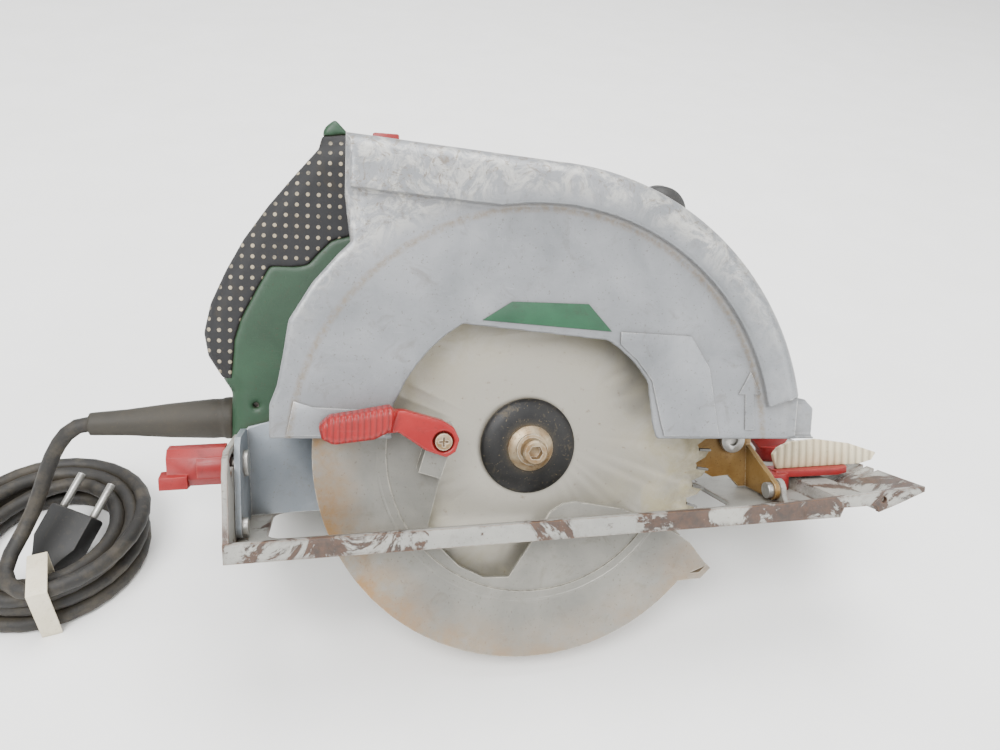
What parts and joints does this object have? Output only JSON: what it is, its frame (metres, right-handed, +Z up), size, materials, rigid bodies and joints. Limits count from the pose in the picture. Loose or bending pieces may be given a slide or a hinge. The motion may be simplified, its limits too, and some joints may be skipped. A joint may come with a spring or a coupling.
{
  "type": "circular saw",
  "caption": "Hand-held circular saw with fixed and swinging blade guards, a depth and bevel adjustable base plate, a loop handle and a coiled mains cord.",
  "frame": {"origin": "middle of the saw's footprint on the floor, without the free cord", "axes": "+X forward along the cut, +Z up from the floor; the saw lies on its lower guard and the far edge of its base plate, leaning towards the motor at -Z along +Y"},
  "size_m": [0.4874, 0.2282, 0.2265],
  "materials": {
    "guard_paint": "satin, worn",
    "bare_aluminium": "cast",
    "green_plastic": "satin",
    "soft_grip": "matt with raised dots",
    "black_plastic": "satin",
    "red_plastic": "satin, rubbed",
    "label_green": "gloss",
    "blade_steel": "brushed, resin stained",
    "carbide": "ground",
    "dark_steel": "oil blackened",
    "rusty_steel": "rusted",
    "bright_steel": "zinc plated",
    "copper": "enamelled",
    "brass": "plain",
    "carbon": "matt",
    "lamination": "varnished",
    "plate_paint": "worn, rusty edges",
    "bracket_amber": "resin stained",
    "cord_rubber": "matt",
    "band_cream": "matt",
    "clear_yellowed": "yellowed",
    "deflector_brown": "dusty"
  },
  "bodies": {
    "saw_body": {"upper_guard": "guard_paint", "chip_deflector": "deflector_brown", "label_plate": "label_green", "gear_case": "bare_aluminium", "bearing_bridge": "bare_aluminium", "motor_housing": "green_plastic", "motor_end_cap": "green_plastic", "handle_left_shell": "green_plastic", "handle_right_shell": "green_plastic", "soft_grip": "soft_grip", "front_handle": "black_plastic", "housing_screws": "bright_steel", "trigger_switch": "black_plastic", "cord_sleeve": "cord_rubber", "cord_clamp": "black_plastic", "stator": "lamination", "field_coils": "copper", "brush_holders": "brass", "carbon_brushes": "carbon", "brush_caps": "black_plastic", "motor_bearings": "bright_steel", "spindle_bearings": "bright_steel", "guard_return_spring": "dark_steel", "depth_pivot_bolt": "bright_steel", "depth_clamp_bolt": "bright_steel", "mains_cord": "cord_rubber", "cord_coil": "cord_rubber", "coil_band": "band_cream", "plug": "cord_rubber", "plug_pins": "bright_steel"},
    "blade_spindle": {"spindle": "bright_steel", "spindle_gear": "dark_steel", "inner_flange": "dark_steel", "saw_blade": "blade_steel", "blade_tips": "carbide", "outer_flange": "dark_steel", "clamping_bolt": "rusty_steel"},
    "armature": {"armature_shaft": "bright_steel", "armature_core": "lamination", "commutator": "copper", "cooling_fan": "black_plastic"},
    "lower_guard": {"lower_guard": "guard_paint", "guard_lever": "red_plastic", "guard_lever_screw": "rusty_steel"},
    "trigger": {"trigger": "black_plastic"},
    "lock_off_button": {"lock_off_button": "red_plastic"},
    "spindle_lock_button": {"spindle_lock_button": "red_plastic"},
    "tilt_frame": {"front_bracket": "bracket_amber", "rear_bracket": "plate_paint", "bevel_pivot_pins": "bright_steel", "bevel_bolt": "bright_steel"},
    "base_plate": {"base_plate": "plate_paint"},
    "bevel_knob": {"bevel_knob": "red_plastic"},
    "depth_clamp_lever": {"depth_clamp_lever": "red_plastic"},
    "guide_wing_screw": {"guide_wing_screw": "red_plastic"},
    "cut_sight": {"sight_arm": "red_plastic", "sight_window": "clear_yellowed"}
  },
  "joints": [
    {"name": "blade_spin", "type": "hinge", "parent": "saw_body", "child": "blade_spindle", "pos_m": [0.00558, -0.05119, 0.09285], "axis": [0, 0.8573, -0.5148], "continuous": true},
    {"name": "armature_spin", "type": "hinge", "parent": "saw_body", "child": "armature", "pos_m": [0.00699, -0.0377, 0.11533], "axis": [0, 0.8573, -0.5148], "continuous": true},
    {"name": "lower_guard_swing", "type": "hinge", "parent": "saw_body", "child": "lower_guard", "pos_m": [0.00558, -0.05119, 0.09285], "axis": [0, 0.8573, -0.5148], "range_deg": [0, 120], "stiffness_Nm_per_rad": 0.25, "springref_deg": -68.75},
    {"name": "trigger_pull", "type": "hinge", "parent": "saw_body", "child": "trigger", "pos_m": [-0.0652, 0.04554, 0.17236], "axis": [0, 0.8573, -0.5148], "range_deg": [0, 7], "stiffness_Nm_per_rad": 1.5, "springref_deg": -6.88},
    {"name": "lock_off_press", "type": "slide", "parent": "saw_body", "child": "lock_off_button", "axis": [-0.0536, -0.514, -0.8561], "range_m": [0, 0.003], "stiffness_N_per_m": 600, "springref_m": -0.002},
    {"name": "spindle_lock_press", "type": "slide", "parent": "saw_body", "child": "spindle_lock_button", "axis": [-0.9986, 0.0276, 0.0459], "range_m": [0, 0.002], "stiffness_N_per_m": 600, "springref_m": -0.002},
    {"name": "depth_swing", "type": "hinge", "parent": "saw_body", "child": "tilt_frame", "pos_m": [0.11842, -0.0543, 0.08767], "axis": [0, -0.8573, 0.5148], "range_deg": [-3.07, 36.93]},
    {"name": "bevel_tilt", "type": "hinge", "parent": "tilt_frame", "child": "base_plate", "pos_m": [0.00542, -0.0754, 0.07584], "axis": [-1, 0, 0], "range_deg": [0, 45]},
    {"name": "bevel_knob_turn", "type": "hinge", "parent": "tilt_frame", "child": "bevel_knob", "pos_m": [-0.13138, -0.04822, 0.08853], "axis": [-1, 0, 0], "range_deg": [0, 180]},
    {"name": "depth_lever_swing", "type": "hinge", "parent": "saw_body", "child": "depth_clamp_lever", "pos_m": [-0.07156, -0.03275, 0.07112], "axis": [0, -0.8573, 0.5148], "range_deg": [0, 20]},
    {"name": "guide_screw_turn", "type": "hinge", "parent": "base_plate", "child": "guide_wing_screw", "pos_m": [0.16042, -0.02637, 0.03706], "axis": [0, 0.5148, 0.8573], "range_deg": [0, 180]},
    {"name": "sight_swing", "type": "hinge", "parent": "base_plate", "child": "cut_sight", "pos_m": [0.13992, -0.06066, 0.05765], "axis": [0, 0.5148, 0.8573], "range_deg": [0, 25]}
  ],
  "couplings": [
    {"joint": "armature_spin", "follows": "blade_spin", "ratio": -4.25}
  ]
}
